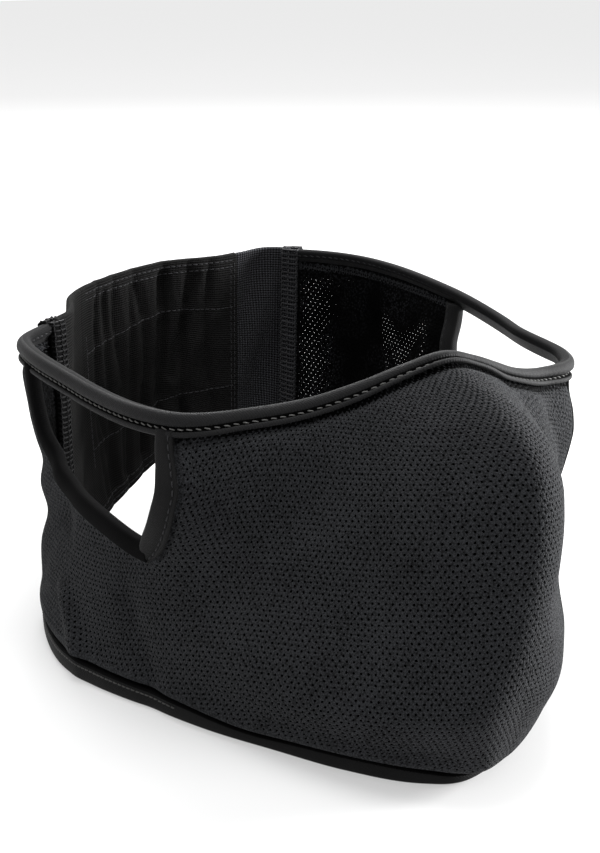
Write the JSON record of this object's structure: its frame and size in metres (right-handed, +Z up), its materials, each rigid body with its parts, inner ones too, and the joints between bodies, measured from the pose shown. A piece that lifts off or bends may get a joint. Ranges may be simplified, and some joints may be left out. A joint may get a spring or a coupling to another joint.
{
  "type": "half face mask",
  "caption": "Soft half face mask: a standing ring of perforated mesh cloth with a bound nose-shaped upper edge, two ear openings under narrow straps and a gathered elastic back.",
  "frame": {"origin": "middle of the mask's footprint box on the floor that it stands on", "axes": "the wearer faces -Y, +X is the wearer's left and +Z is up; the ring is longest from nose to back, along Y"},
  "size_m": [0.1682, 0.2568, 0.108],
  "materials": {
    "charcoal_mesh": "matt perforated spacer mesh, charcoal",
    "black_knit": "matt plain knit, black",
    "black_ribbed_knit": "matt ribbed elastic knit, black",
    "grey_tape": "smooth folded elastic tape, dark grey",
    "black_tape": "smooth folded tape, near black",
    "grey_thread": "overlocked thread, dark grey"
  },
  "bodies": {
    "root": {"front_panel": "charcoal_mesh", "back_panel_left": "black_knit", "back_panel_right": "black_knit", "gathered_panel": "black_ribbed_knit", "top_binding": "grey_tape", "bottom_binding": "black_tape", "ear_front_binding_left": "grey_tape", "ear_front_binding_right": "grey_tape", "ear_rear_binding_left": "grey_tape", "ear_rear_binding_right": "grey_tape", "overlock_seam_left": "grey_thread", "overlock_seam_right": "grey_thread"}
  },
  "joints": []
}
